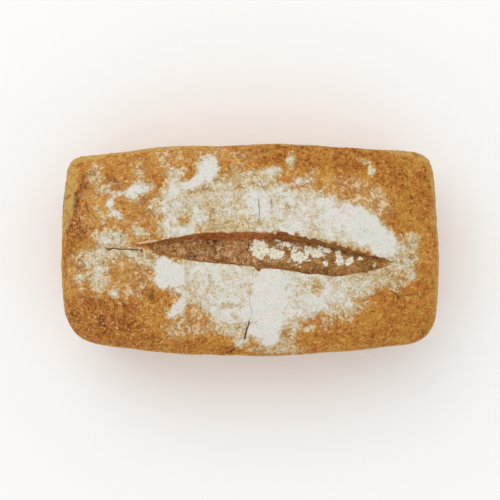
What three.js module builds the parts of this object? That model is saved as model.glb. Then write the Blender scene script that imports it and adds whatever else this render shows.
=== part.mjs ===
// A sourdough loaf that was baked in a large oblong tin, as one closed solid in millimetres.
//
// X runs along the loaf, Y across it and Z up; the origin is the middle of the flat base.
// The tin gave the loaf its flat base, its tapered walls and the four corners. Above the
// tin's rim the crust rose free, so it bows out past the walls, rounds over a shoulder and
// is nearly flat on top. One long slash opened along the crown. Its north lip stands
// higher than its south lip. The inner dough rose between them as a low, torn ridge, which
// lies deepest along the foot of the north lip's broad slope. A closed crack runs on from
// the slash's west end.
import * as THREE from "three";

// Driving dimensions
const HEIGHT = 84; // base to the top of the north lip
const CROWN = 81; // top of the crust beside the slash, before its broad lumps
const WIDEST = 63; // level of the widest line, halfway along each side
const WIDEST_AT_CORNERS = 58;
const RIM = 54; // level of the tin's rim, where the crust starts to overhang
const TAPER = 5; // how far each wall leans out between the base and the rim
const BASE_RADIUS = 7;
const END_FLATNESS = 4.2; // how flat the crown is towards the two ends
const SIDE_FLATNESS = 3; // and towards the two long sides

// The widest outline, seen from above: corners before rounding, counterclockwise from the
// south-west one, with the length that each rounding takes off the two sides it joins
const CORNERS = [
  { at: [-111.5, -55], leg: 20 },
  { at: [112, -55], leg: 17 },
  { at: [110, 58.5], leg: 12 },
  { at: [-111.5, 56], leg: 10 },
];
const BOWS = [9.5, 3.4, 6.6, 3.2]; // how far the south, east, north and west sides bow out
const WALL_BOW_SHARE = 0.35; // the walls' bow, as a share of the crust's
const WALL_INSET = 0.8; // crust past the walls even at a corner
const CORNER_PLACE = 0.75; // x² y² in the middle of a corner, in shares of the half sizes

// The slash: a long lens whose middle line drifts south towards its east end
const SLASH_WEST = -61;
const SLASH_EAST = 85;
const SLASH_HALF_WIDTH = 11.7;
const WEST_ROUNDNESS = 0.52; // power of the lens's half: 1 is a parabola, less is blunter
const EAST_ROUNDNESS = 0.8;
const SLASH_SKEW = 0.17; // the east half is this much fuller
const DRIFT_MIDDLE = [35, -3.3]; // where the middle line bends
const DRIFT_REACH = 25;
const DRIFT = 4.7;
const NARROW = 4; // the slash grows shallow where it is narrower than this on each side
const NORTH_LIP = 2.6; // height of each lip over the crust around it
const SOUTH_LIP = 1.3;
const LIP_REACH = 11; // how far from the slash a lip's swelling fades
const NORTH_DEPTH = 8; // depth of the inner dough along each lip
const SOUTH_DEPTH = 3.2;
const RIDGE = 2.4; // how far the inner dough swells between the lips
const NORTH_WALL = 0.46; // share of the half width that the slope up to each lip takes
const WIDE_WALL = 0.3; // how much more of it the north slope takes where it is widest
const WIDE_WALL_AT = -6;
const WIDE_WALL_REACH = 20;
const SOUTH_WALL = 0.12;
const LIP_CURL = 0.4; // how far the north lip leans over its slope
const CURL_FADE = 4; // how many times sooner the lean fades than the lip's swelling
const RELIEF_SHARES = [0.2, 0.9]; // shares of the crown's rise between which relief fades in
const TEAR_HEIGHT = 0.55; // bumps of the torn inner dough
const TEAR_LENGTH = 13; // wavelength of those bumps along the slash
const TEAR_WIDTH = 9; // and across it

// The closed crack west of the slash
const CRACK_WEST = -88;
const CRACK_DEPTH = 1.8;
const CRACK_HALF_WIDTH = 2.2;
const CRACK_FADE = 10; // length over which it opens, and over which the slash takes over

// Broad lumps of the risen dough
const LUMP_HEIGHT = 0.32;
const LUMP_LENGTH = 74; // wavelength of the broadest
const LUMP_RATIO = 0.76; // each wave is this much shorter and lower than the one before
const LUMP_WAVES = 8;
const LUMP_PHASE = 0.65; // sets where the lumps fall
const GOLDEN_ANGLE = 2.39996;

// Facets: rows and columns of the grid over the crown, and rings down the sides
const COLUMNS = 74;
const ROWS_SOUTH = 14;
const ROWS_NORTH = 16;
const FLOOR_ROWS = 4; // across the floor of the slash
const SLOPE_ROWS = 3; // up to the north lip
const ROW_SPREAD = 0.25; // how fast those rows spread past the slash's ends
const OVERHANG_RINGS = 3;
const WALL_RINGS = 4;
const BASE_RINGS = 3;
const CURVE_STEPS = 40; // steps used to measure a curve's length
const HALVINGS = 30; // steps used to find a place along it

const { clamp, lerp, smoothstep } = THREE.MathUtils;

// How far into the slash's length x lies: -1 at its west end, 1 at its east end.
function alongSlash(x) {
  const middle = (SLASH_WEST + SLASH_EAST) / 2;
  return (x - middle) / (SLASH_EAST - middle);
}

function slashMiddle(x) {
  return DRIFT_MIDDLE[1] - DRIFT * Math.tanh((x - DRIFT_MIDDLE[0]) / DRIFT_REACH);
}

function slashHalfWidth(x) {
  const t = clamp(alongSlash(x), -1, 1);
  const roundness = t < 0 ? WEST_ROUNDNESS : EAST_ROUNDNESS;
  return SLASH_HALF_WIDTH * (1 - t * t) ** roundness * (1 + SLASH_SKEW * t);
}

// 1 at the middle of the slash, falling to 0 at its ends.
function slashOpening(x) {
  const t = clamp(alongSlash(x), -1, 1);
  return Math.sqrt(1 - t * t) * smoothstep(slashHalfWidth(x), 0, NARROW);
}

// Share of the half width that the slope up to the north lip takes.
function northWall(x) {
  return NORTH_WALL + WIDE_WALL * Math.exp(-(((x - WIDE_WALL_AT) / WIDE_WALL_REACH) ** 2));
}

// Bumps of the torn dough: two waves that cross each other at a slant.
function tearing(x, y) {
  const along = (2 * Math.PI * x) / TEAR_LENGTH;
  const across = (2 * Math.PI * y) / TEAR_WIDTH;
  return TEAR_HEIGHT * Math.sin(along + across) * Math.cos(along - across);
}

// Height that the slash, its lips and its crack add to the crown at x, y, and the lean of
// the north lip.
function slashRelief(x, y) {
  const open = slashOpening(x);
  const half = slashHalfWidth(x);
  const off = y - slashMiddle(x);
  const north = off > 0;
  const past = Math.abs(off) - half;
  const lip = open * (north ? NORTH_LIP : SOUTH_LIP);
  const crackEnds =
    smoothstep(x, CRACK_WEST, CRACK_WEST + CRACK_FADE) - smoothstep(x, SLASH_WEST, SLASH_WEST + CRACK_FADE);
  const crack = CRACK_DEPTH * crackEnds * Math.max(0, 1 - Math.abs(off) / CRACK_HALF_WIDTH);
  if (past >= 0) {
    const fade = Math.exp(-past / LIP_REACH);
    return { rise: lip * fade - crack, lean: north ? -open * LIP_CURL * fade ** CURL_FADE : 0 };
  }
  const across = off / half;
  const northness = (across + 1) / 2;
  const ridge = RIDGE * (1 - across * across) + tearing(x, y);
  const floor = open * (ridge - lerp(SOUTH_DEPTH, NORTH_DEPTH, northness));
  const up = smoothstep(Math.abs(across), 1 - (north ? northWall(x) : SOUTH_WALL), 1);
  return { rise: lerp(floor, lip, up) - crack, lean: north ? -open * LIP_CURL * up : 0 };
}

// The dough's broad lumps: a few waves whose directions turn by the golden angle.
function lumps(point) {
  let sum = 0;
  for (let i = 0; i < LUMP_WAVES; i++) {
    const turn = i * GOLDEN_ANGLE;
    const wave = (2 * Math.PI) / (LUMP_LENGTH * LUMP_RATIO ** i);
    const along = point.x * Math.cos(turn) + point.y * Math.sin(turn) + point.z * Math.cos(3 * turn);
    sum += LUMP_RATIO ** i * Math.sin(wave * along + (i + 1) * LUMP_PHASE);
  }
  return LUMP_HEIGHT * sum;
}

// Point at share t of the side from corner i to the next, with its bow scaled.
function sidePoint(i, t, bowShare) {
  const from = new THREE.Vector2(...CORNERS[i].at);
  const to = new THREE.Vector2(...CORNERS[(i + 1) % 4].at);
  const outward = new THREE.Vector2(to.y - from.y, from.x - to.x).normalize();
  return from.clone().lerp(to, t).addScaledVector(outward, 4 * BOWS[i] * bowShare * t * (1 - t));
}

// Share of side i that the rounding at its start, or at its end, takes off.
function trim(i, atEnd) {
  const next = (i + 1) % 4;
  const length = new THREE.Vector2(...CORNERS[i].at).distanceTo(new THREE.Vector2(...CORNERS[next].at));
  return CORNERS[atEnd ? next : i].leg / length;
}

// Half of the rounding of corner i: from its middle onto side i, or from the side before
// it up to its middle.
function halfRounding(i, bowShare, ontoSide) {
  const before = (i + 3) % 4;
  const start = sidePoint(before, 1 - trim(before, true), bowShare);
  const end = sidePoint(i, trim(i, false), bowShare);
  const rounding = new THREE.QuadraticBezierCurve(start, new THREE.Vector2(...CORNERS[i].at), end);
  const from = ontoSide ? 0.5 : 0;
  const step = 0.5 / CURVE_STEPS;
  return Array.from({ length: CURVE_STEPS + 1 }, (_, k) => rounding.getPoint(from + k * step));
}

// One side of the outline from the middle of one corner to the middle of the next, as a
// function of the share of its length.
function sideOfOutline(i, bowShare) {
  const first = trim(i, false);
  const last = 1 - trim(i, true);
  const middle = Array.from({ length: CURVE_STEPS - 1 }, (_, k) =>
    sidePoint(i, lerp(first, last, (k + 1) / CURVE_STEPS), bowShare),
  );
  const start = halfRounding(i, bowShare, true);
  const end = halfRounding((i + 1) % 4, bowShare, false);
  const points = [...start, ...middle, ...end];
  const path = new THREE.CurvePath();
  for (let k = 1; k < points.length; k++) path.add(new THREE.LineCurve(points[k - 1], points[k]));
  return (share) => path.getPointAt(clamp(share, 0, 1));
}

const crustSides = [0, 1, 2, 3].map((i) => sideOfOutline(i, 1));
const wallSides = [0, 1, 2, 3].map((i) => sideOfOutline(i, WALL_BOW_SHARE));
const halfLength = (crustSides[1](0.5).x - crustSides[3](0.5).x) / 2;
const halfWidth = (crustSides[2](0.5).y - crustSides[0](0.5).y) / 2;

// The crown swells from its edge to its middle; along and across are -1 to 1.
function swell(along, across) {
  const share = (1 - Math.abs(along) ** END_FLATNESS) * (1 - Math.abs(across) ** SIDE_FLATNESS);
  return Math.sqrt(Math.max(0, share));
}

// Level of the widest line, which sinks towards the corners.
function widestLevel(x, y) {
  const corner = (x / halfLength) ** 2 * (y / halfWidth) ** 2;
  return lerp(WIDEST, WIDEST_AT_CORNERS, clamp(corner / CORNER_PLACE, 0, 1));
}

// A function that turns a share of a crown section's true length into -1 to 1 across it, so
// that facets stay even where the shoulder turns down.
function evenly(half, section) {
  const curve = new THREE.CurvePath();
  const at = (k) => {
    const place = Math.sin((Math.PI * (k - CURVE_STEPS)) / (2 * CURVE_STEPS));
    return new THREE.Vector2(place * half, (CROWN - WIDEST) * section(place));
  };
  for (let k = 0; k < 2 * CURVE_STEPS; k++) curve.add(new THREE.LineCurve(at(k), at(k + 1)));
  return {
    place: (share) => clamp(curve.getPointAt(clamp(share, 0, 1)).x / half, -1, 1),
    length: curve.getLength(),
  };
}
const alongCrown = evenly(halfLength, (place) => swell(place, 0));
const acrossCrown = evenly(halfWidth, (place) => swell(0, place));

// Share of the crown section's length at a place from -1 to 1 across it.
function shareAt(place) {
  let low = 0;
  let high = 1;
  for (let k = 0; k < HALVINGS; k++) {
    const middle = (low + high) / 2;
    if (acrossCrown.place(middle) < place) low = middle;
    else high = middle;
  }
  return (low + high) / 2;
}

// The slash's own rows of facets, from -1 at its south edge to 1 at its north edge.
function slashRows(x) {
  const foot = 1 - northWall(x);
  const rows = [-1];
  for (let k = 0; k <= FLOOR_ROWS; k++) rows.push(lerp(SOUTH_WALL - 1, foot, k / FLOOR_ROWS));
  for (let k = 1; k <= SLOPE_ROWS; k++) rows.push(lerp(foot, 1, k / SLOPE_ROWS));
  return rows;
}

// Places, from -1 to 1, of the rows of facets across the crown at column x: even from the
// south edge to the slash, then the slash's own rows, then even to the north edge.
function rowPlaces(x) {
  const south = crustSides[0](0.5).y;
  const toPlace = (y) => (y - south) / halfWidth - 1;
  const pastEnds = Math.max(0, x - SLASH_EAST, CRACK_WEST - x);
  const half = Math.max(slashHalfWidth(x), CRACK_HALF_WIDTH + ROW_SPREAD * pastEnds);
  const slash = slashRows(x).map((row) => toPlace(slashMiddle(x) + row * half));
  const southShare = shareAt(slash[0]);
  const northShare = shareAt(slash.at(-1));
  const southRows = Array.from({ length: ROWS_SOUTH }, (_, j) =>
    acrossCrown.place((southShare * j) / ROWS_SOUTH),
  );
  const northRows = Array.from({ length: ROWS_NORTH }, (_, j) =>
    acrossCrown.place(lerp(northShare, 1, (j + 1) / ROWS_NORTH)),
  );
  southRows[0] = -1;
  northRows[ROWS_NORTH - 1] = 1;
  return [...southRows, ...slash, ...northRows];
}

// Plan of the crown: the patch that the outline's four sides span.
function planPoint(along, across) {
  const a = (along + 1) / 2;
  const b = (across + 1) / 2;
  const [south, east, north, west] = [a, b, 1 - a, 1 - b].map((share, i) => crustSides[i](share));
  const [sw, se, ne, nw] = [0, 1, 2, 3].map((i) => crustSides[i](0));
  const mix = (p, q, share) => p.clone().lerp(q, share);
  return mix(south, north, b).add(mix(west, east, a)).sub(mix(mix(sw, se, a), mix(nw, ne, a), b));
}

function crownPoint(along, across) {
  const plan = planPoint(along, across);
  const edge = widestLevel(plan.x, plan.y);
  const raised = swell(along, across);
  const relief = slashRelief(plan.x, plan.y);
  const fade = smoothstep(raised, ...RELIEF_SHARES);
  return new THREE.Vector3(
    plan.x,
    plan.y + relief.lean * fade,
    lerp(edge, CROWN, raised) + relief.rise * fade,
  );
}

// A point of an outline, moved in with its whole side by the same amount.
function inset(plan, amount) {
  return new THREE.Vector2(plan.x * (1 - amount / halfLength), plan.y * (1 - amount / halfWidth));
}

// Points below the widest line at share f of side i: under the overhang, down the wall and
// round the base's edge.
function sidePoints(i, f) {
  const crust = crustSides[i](f);
  const wall = inset(wallSides[i](f), WALL_INSET);
  const foot = inset(wall, TAPER);
  const level = widestLevel(crust.x, crust.y);
  const points = [];
  for (let k = 1; k <= OVERHANG_RINGS; k++) {
    const angle = (Math.PI / 2) * (k / OVERHANG_RINGS);
    const plan = wall.clone().lerp(crust, Math.cos(angle));
    points.push(new THREE.Vector3(plan.x, plan.y, lerp(level, RIM, Math.sin(angle))));
  }
  for (let k = 1; k <= WALL_RINGS; k++) {
    const z = lerp(RIM, BASE_RADIUS, k / WALL_RINGS);
    const plan = foot.clone().lerp(wall, z / RIM);
    points.push(new THREE.Vector3(plan.x, plan.y, z));
  }
  for (let k = 1; k <= BASE_RINGS; k++) {
    const angle = (Math.PI / 2) * (k / BASE_RINGS);
    const plan = inset(foot, BASE_RADIUS * (1 - Math.cos(angle)));
    points.push(new THREE.Vector3(plan.x, plan.y, BASE_RADIUS * (1 - Math.sin(angle))));
  }
  return points;
}

// The whole surface as points and triangles. The crown is a grid, its edge is the first
// ring, and each ring below it is joined to the one above; a fan closes the base.
function loafSurface() {
  const points = [];
  const faces = [];
  const add = (point) => points.push(point) - 1;
  const quad = (a, b, c, d) => faces.push(a, b, c, a, c, d);
  const grid = [];
  for (let i = 0; i <= COLUMNS; i++) {
    const along = i === 0 ? -1 : i === COLUMNS ? 1 : alongCrown.place(i / COLUMNS);
    grid.push(rowPlaces(along * halfLength).map((across) => add(crownPoint(along, across))));
  }
  const rows = grid[0].length - 1;
  for (let i = 0; i < COLUMNS; i++)
    for (let j = 0; j < rows; j++) quad(grid[i][j], grid[i + 1][j], grid[i + 1][j + 1], grid[i][j + 1]);

  // The crown's edge, counterclockwise, as [side, share of that side, point].
  const alongShare = (i) => (i === 0 ? 0 : i === COLUMNS ? 1 : (alongCrown.place(i / COLUMNS) + 1) / 2);
  const endPlaces = [rowPlaces(halfLength), rowPlaces(-halfLength)];
  const edge = [];
  for (let i = 0; i < COLUMNS; i++) edge.push([0, alongShare(i), grid[i][0]]);
  for (let j = 0; j < rows; j++) edge.push([1, (endPlaces[0][j] + 1) / 2, grid[COLUMNS][j]]);
  for (let i = COLUMNS; i > 0; i--) edge.push([2, 1 - alongShare(i), grid[i][rows]]);
  for (let j = rows; j > 0; j--) edge.push([3, 1 - (endPlaces[1][j] + 1) / 2, grid[0][j]]);

  const down = edge.map(([side, share, top]) => [top, ...sidePoints(side, share).map(add)]);
  const centre = add(new THREE.Vector3(0, 0, 0));
  down.forEach((column, k) => {
    const next = down[(k + 1) % down.length];
    for (let r = 1; r < column.length; r++) quad(column[r], next[r], next[r - 1], column[r - 1]);
    faces.push(column.at(-1), centre, next.at(-1));
  });
  return { points, faces };
}

// Moves each point out along its normal by the dough's lumps, which fade above the base.
function addLumps(geometry) {
  geometry.computeVertexNormals();
  const position = geometry.getAttribute("position");
  const normal = geometry.getAttribute("normal");
  const point = new THREE.Vector3();
  const outward = new THREE.Vector3();
  for (let k = 0; k < position.count; k++) {
    point.fromBufferAttribute(position, k);
    outward.fromBufferAttribute(normal, k);
    const amount = lumps(point) * smoothstep(point.z, 0, 2 * BASE_RADIUS);
    point.addScaledVector(outward, amount);
    position.setXYZ(k, point.x, point.y, point.z);
  }
}

// Scales the height to its driving dimension and sets the box's middle over the origin.
function settle(geometry) {
  geometry.computeBoundingBox();
  const { min, max } = geometry.boundingBox;
  geometry.translate(-(min.x + max.x) / 2, -(min.y + max.y) / 2, 0);
  geometry.scale(1, 1, HEIGHT / max.z);
}

function makeLoaf() {
  const { points, faces } = loafSurface();
  const geometry = new THREE.BufferGeometry().setFromPoints(points).setIndex(faces);
  addLumps(geometry);
  settle(geometry);
  geometry.computeVertexNormals();
  const crust = new THREE.MeshStandardMaterial({ color: 0xb0702a, roughness: 0.8, metalness: 0 });
  const loaf = new THREE.Mesh(geometry, crust);
  loaf.name = "loaf";
  return loaf;
}

const model = new THREE.Group();
model.add(makeLoaf());
export default model;
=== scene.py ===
"""The looks of a floury sourdough loaf that was baked in an oblong tin.

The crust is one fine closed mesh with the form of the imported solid: a grid over the crown,
with rows that follow the slash, and rings down the tapered walls. Its lumps, lips, cracks,
blisters and coat of flour are in the mesh. Numbers kept on its points say how dark the
crust is, how much flour lies on it and where it cracked or tore, and the materials turn
them into colour. The torn dough in the slash, and the loose grains and lumps of flour, are
pieces of their own. Lengths are in millimetres until a mesh is made.
"""

import math

import bmesh
import bpy
import numpy as np
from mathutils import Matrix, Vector


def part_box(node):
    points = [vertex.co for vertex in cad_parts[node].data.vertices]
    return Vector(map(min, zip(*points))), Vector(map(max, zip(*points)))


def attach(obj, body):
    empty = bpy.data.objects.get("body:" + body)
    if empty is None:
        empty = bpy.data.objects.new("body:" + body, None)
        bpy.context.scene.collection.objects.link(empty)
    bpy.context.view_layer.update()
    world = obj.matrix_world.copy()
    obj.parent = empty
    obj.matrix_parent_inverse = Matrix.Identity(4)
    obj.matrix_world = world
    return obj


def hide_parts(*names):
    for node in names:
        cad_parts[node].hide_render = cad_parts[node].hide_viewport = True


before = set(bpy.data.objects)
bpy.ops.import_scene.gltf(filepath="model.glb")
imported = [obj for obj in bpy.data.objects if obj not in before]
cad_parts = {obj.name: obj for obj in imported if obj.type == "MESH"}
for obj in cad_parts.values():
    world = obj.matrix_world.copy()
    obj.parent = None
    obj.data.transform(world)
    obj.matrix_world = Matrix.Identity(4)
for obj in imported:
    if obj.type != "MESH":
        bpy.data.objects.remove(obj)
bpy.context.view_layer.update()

MM = 0.001
NODE = "loaf"
BODY = "root"
CAD_LOW, CAD_HIGH = (np.array(corner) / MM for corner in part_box(NODE))
HEIGHT = CAD_HIGH[2] - CAD_LOW[2]

# ---------------------------------------------------------------- the loaf's form

# Levels, as shares of the height
CROWN = 81 / 84 * HEIGHT
WIDEST = 63 / 84 * HEIGHT
WIDEST_AT_CORNERS = 58 / 84 * HEIGHT
RIM = 54 / 84 * HEIGHT
TAPER = 5
BASE_RADIUS = 7
END_FLATNESS = 4.2
SIDE_FLATNESS = 3

# The widest outline: corners before rounding, counterclockwise from the south-west one
CORNERS = np.array([(-111.5, -55), (112, -55), (110, 58.5), (-111.5, 56)])
LEGS = (20, 17, 12, 10)  # length that each rounding takes off the two sides it joins
BOWS = (9.5, 3.4, 6.6, 3.2)  # how far the south, east, north and west sides bow out
WALL_BOW_SHARE = 0.35  # the walls' bow, as a share of the crust's
WALL_INSET = 0.8  # crust past the walls even at a corner
CORNER_PLACE = 0.75  # x² y² in the middle of a corner, in shares of the half sizes

# The slash
SLASH_WEST = -61
SLASH_EAST = 85
SLASH_HALF_WIDTH = 11.7
WEST_ROUNDNESS = 0.52
EAST_ROUNDNESS = 0.8
SLASH_SKEW = 0.17
DRIFT_MIDDLE = (35, -3.3)
DRIFT_REACH = 25
DRIFT = 4.7
NARROW = 4  # the slash grows shallow where it is narrower than this on each side
NORTH_LIP = 2.6
SOUTH_LIP = 1.3
LIP_REACH = 11
NORTH_DEPTH = 8
SOUTH_DEPTH = 3.2
RIDGE = 2.4
SOUTH_WALL = 0.12  # shares of the half width that the lips' walls take
NORTH_WALL = 0.46
WIDE_WALL = 0.3
WIDE_WALL_AT = -6
WIDE_WALL_REACH = 20
LIP_CURL = 0.4  # how far the north lip leans over its slope
CURL_FADE = 4  # how many times sooner the lean fades than the lip's swelling
SKIN = 0.93  # share of a lip's slope past which it is crust
RELIEF_SHARES = (0.2, 0.9)  # shares of the crown's rise between which relief fades in
LIP_RAGGED = 0.55  # how far the lips' edges wander, and the size and seed of that noise
SOUTH_RAGGED = (7, 31)
NORTH_RAGGED = (9, 57)
NORTH_TEETH = 1.1  # and how much further, in small teeth, the north lip's does in the east
TEETH = (3.2, 58)
TEETH_START = (6, 16)  # they grow between these places
NOTCH = (4.6, 1.8, 2.6)  # place, half width and depth of the bite in the south lip
CRUMB_SEAT = 1.2  # the crust's own floor lies this far under the torn dough

# Broad lumps, as in the solid
LUMP_HEIGHT = 0.32
LUMP_LENGTH = 74
LUMP_RATIO = 0.76
LUMP_WAVES = 8
LUMP_PHASE = 0.65
GOLDEN_ANGLE = 2.39996

# The crust's grid
COLUMNS = 300
FIELD_ROWS = 80  # from each long side to the slash
WALL_ROWS = (5, 14)  # down the south lip and down the north lip
FLOOR_ROWS = 10
LEAST_HALF = 2.2  # half width that the slash's rows keep past its ends
ROW_SPREAD = 0.25
OVERHANG_RINGS = 8
TIN_RINGS = 21
BASE_RINGS = 6
CURVE_STEPS = 60

# The torn dough: a slab of its own that lies in the slash
CRUMB_ENDS = (-58, 84.4)  # west of it, the slash is a hollow in the crust
CRUMB_ACROSS = (-0.97, 0.86)
CRUMB_COLUMNS = 290
CRUMB_ROWS = 44
CRUMB_THICKNESS = 3


def lerp(a, b, share):
    return a + (b - a) * share


def smoothstep(x, low, high):
    t = np.clip((x - low) / (high - low), 0, 1)
    return t * t * (3 - 2 * t)


def lattice(cells, seed):
    """A number from -1 to 1 for each whole-numbered cell, always the same for one seed."""
    mixed = cells[..., 0] * 73856093 ^ cells[..., 1] * 19349663
    mixed = mixed ^ cells[..., 2] * 83492791 ^ np.int64(seed * 7919 + 17) * 40503
    mixed = (mixed ^ mixed >> 13) * 1274126177
    mixed = mixed ^ mixed >> 16
    return (mixed & 0xFFFF) / 32767.5 - 1


def smooth_noise(points, size, seed):
    """Smooth noise from -1 to 1 whose bumps are about as wide as size."""
    place = points / size
    cell = np.floor(place).astype(np.int64)
    part = place - cell
    part = part * part * part * (part * (part * 6 - 15) + 10)
    total = np.zeros(len(points))
    for corner in np.ndindex(2, 2, 2):
        weight = np.prod(np.where(corner, part, 1 - part), axis=1)
        total += weight * lattice(cell + corner, seed)
    return total


TURN = np.array([(0.36, 0.48, -0.8), (-0.8, 0.6, 0), (0.48, 0.64, 0.6)])  # a plain rotation


def noise(points, size, seed, octaves=3):
    """Layers of smooth noise, each turned, and half as wide and as high as the last."""
    total = np.zeros(len(points))
    turned = np.asarray(points, float)
    for octave in range(octaves):
        turned = turned @ TURN
        total += smooth_noise(turned, size / 2**octave, seed + octave) / 2**octave
    return total


def layered(points, layers):
    """The sum of layers of noise, each with its height, size, seed and, unless 3, octaves."""
    return sum(height * noise(points, *layer) for height, *layer in layers)


def on_base(x, y):
    """Points in the base's plane."""
    return np.stack([x, y, 0 * x], axis=-1)


def along_x(x, size, seed):
    """Noise that changes only along the loaf."""
    return noise(on_base(x, 0 * x).reshape(-1, 3), size, seed).reshape(np.shape(x))


class Path:
    """A polyline that gives the points at shares of its length."""

    def __init__(self, points):
        self.points = np.asarray(points, float)
        steps = np.linalg.norm(np.diff(self.points, axis=0), axis=1)
        self.shares = np.concatenate([[0], np.cumsum(steps)]) / steps.sum()

    def at(self, share):
        share = np.clip(share, 0, 1)
        return np.stack([np.interp(share, self.shares, column) for column in self.points.T], axis=-1)


def side_point(i, t, bow_share):
    """Points at shares t of the side from corner i to the next, with its bow scaled."""
    start, end = CORNERS[i], CORNERS[(i + 1) % 4]
    run = end - start
    outward = np.array([run[1], -run[0]]) / np.linalg.norm(run)
    t = np.asarray(t, float)[..., None]
    return lerp(start, end, t) + outward * 4 * BOWS[i] * bow_share * t * (1 - t)


def trim(i):
    """Shares along side i between which neither rounding takes anything off."""
    after = (i + 1) % 4
    length = np.linalg.norm(CORNERS[after] - CORNERS[i])
    return LEGS[i] / length, 1 - LEGS[after] / length


def rounding(i, bow_share):
    """The rounding of corner i, from the side before it onto side i."""
    before = (i + 3) % 4
    start = side_point(before, trim(before)[1], bow_share)
    end = side_point(i, trim(i)[0], bow_share)
    t = np.linspace(0, 1, 2 * CURVE_STEPS - 1)[:, None]
    return (1 - t) ** 2 * start + 2 * t * (1 - t) * CORNERS[i] + t**2 * end


def side_of_outline(i, bow_share):
    """One side of the outline, from the middle of one corner to the middle of the next."""
    first = rounding(i, bow_share)[CURVE_STEPS - 1:]
    straight = side_point(i, np.linspace(*trim(i), CURVE_STEPS + 1)[1:-1], bow_share)
    last = rounding((i + 1) % 4, bow_share)[:CURVE_STEPS]
    return Path(np.concatenate([first, straight, last]))


crust_sides = [side_of_outline(i, 1) for i in range(4)]
wall_sides = [side_of_outline(i, WALL_BOW_SHARE) for i in range(4)]
HALF_LENGTH = (crust_sides[1].at(0.5)[0] - crust_sides[3].at(0.5)[0]) / 2
HALF_WIDTH = (crust_sides[2].at(0.5)[1] - crust_sides[0].at(0.5)[1]) / 2
SOUTH_EDGE = crust_sides[0].at(0.5)[1]


def swell(along, across):
    """How far the crown has risen at a place from -1 to 1 along and across it."""
    share = (1 - np.abs(along) ** END_FLATNESS) * (1 - np.abs(across) ** SIDE_FLATNESS)
    return np.sqrt(np.clip(share, 0, None))


def corner_share(x, y):
    """0 halfway along each side, and CORNER_PLACE in the middle of a corner."""
    return (x / HALF_LENGTH) ** 2 * (y / HALF_WIDTH) ** 2


def widest_level(x, y):
    corner = np.clip(corner_share(x, y) / CORNER_PLACE, 0, 1)
    return lerp(WIDEST, WIDEST_AT_CORNERS, corner)


def crown_section(half, section):
    """The crown's section as a path of places from -1 to 1, spaced by their true length."""
    place = np.sin(np.linspace(-math.pi / 2, math.pi / 2, 2 * CURVE_STEPS + 1))
    path = Path(np.stack([place * half, (CROWN - WIDEST) * section(place)], axis=-1))
    return path.shares, place


ALONG_SHARES, ALONG_PLACES = crown_section(HALF_LENGTH, lambda place: swell(place, 0))
ACROSS_SHARES, ACROSS_PLACES = crown_section(HALF_WIDTH, lambda place: swell(0, place))


def along_slash(x):
    """How far into the slash's length x lies: -1 at its west end, 1 at its east end."""
    middle = (SLASH_WEST + SLASH_EAST) / 2
    return np.clip((x - middle) / (SLASH_EAST - middle), -1, 1)


def slash_half_width(x):
    t = along_slash(x)
    roundness = np.where(t < 0, WEST_ROUNDNESS, EAST_ROUNDNESS)
    return SLASH_HALF_WIDTH * (1 - t * t) ** roundness * (1 + SLASH_SKEW * t)


def slash_opening(x):
    """1 at the middle of the slash, falling to 0 at its ends."""
    return np.sqrt(1 - along_slash(x) ** 2) * smoothstep(slash_half_width(x), 0, NARROW)


def slash_edges(x):
    """The south and north edges of the slash at x, ragged as the dough tore."""
    middle = DRIFT_MIDDLE[1] - DRIFT * np.tanh((x - DRIFT_MIDDLE[0]) / DRIFT_REACH)
    half = slash_half_width(x)
    ragged = LIP_RAGGED * slash_opening(x)
    place, reach, depth = NOTCH
    notch = depth * np.exp(-(((x - place) / reach) ** 2))
    south = middle - half - ragged * along_x(x, *SOUTH_RAGGED) - notch
    teeth = NORTH_TEETH * smoothstep(x, *TEETH_START) * slash_opening(x)
    teeth = teeth * (along_x(x, *TEETH) - 0.3)
    north = middle + half + ragged * along_x(x, *NORTH_RAGGED) + teeth
    return south, np.maximum(north, south)


def north_wall(x):
    """Share of the half width that the slope up to the north lip takes."""
    return NORTH_WALL + WIDE_WALL * np.exp(-(((x - WIDE_WALL_AT) / WIDE_WALL_REACH) ** 2))


def slash_floor(x, across):
    """Level of the torn dough against the crown, at a place from -1 to 1 across the slash."""
    hump = RIDGE * (1 - across**2)
    return slash_opening(x) * (hump - lerp(SOUTH_DEPTH, NORTH_DEPTH, (across + 1) / 2))


def slash_relief(x, y):
    """The height that the slash and its lips add at x, y, the north lip's lean, and how far
    the surface is torn dough instead of crust."""
    south, north = slash_edges(x)
    middle, half = (south + north) / 2, (north - south) / 2
    off = y - middle
    past = np.abs(off) - half
    is_north = off > 0
    opening = slash_opening(x)
    lip = opening * np.where(is_north, NORTH_LIP, SOUTH_LIP)
    fade = np.exp(-np.clip(past, 0, None) / LIP_REACH)
    across = np.clip(off / np.maximum(half, 1e-6), -1, 1)
    up = smoothstep(np.abs(across), 1 - np.where(is_north, north_wall(x), SOUTH_WALL), 1)
    inside = past < 0
    floor = slash_floor(x, across) - CRUMB_SEAT * opening
    rise = np.where(inside, lerp(floor, lip, up), lip * fade)
    lean = -opening * LIP_CURL * np.where(inside, up, fade**CURL_FADE) * is_north
    torn = np.where(inside, 1 - smoothstep(up, SKIN, 1), 0)
    return rise, lean, torn


def lumps(points):
    """The dough's broad lumps: a few waves whose directions turn by the golden angle."""
    total = np.zeros(len(points))
    for i in range(LUMP_WAVES):
        turn = i * GOLDEN_ANGLE
        wave = 2 * math.pi / (LUMP_LENGTH * LUMP_RATIO**i)
        along = points @ (math.cos(turn), math.sin(turn), math.cos(3 * turn))
        total += LUMP_RATIO**i * np.sin(wave * along + (i + 1) * LUMP_PHASE)
    return LUMP_HEIGHT * total


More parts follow.
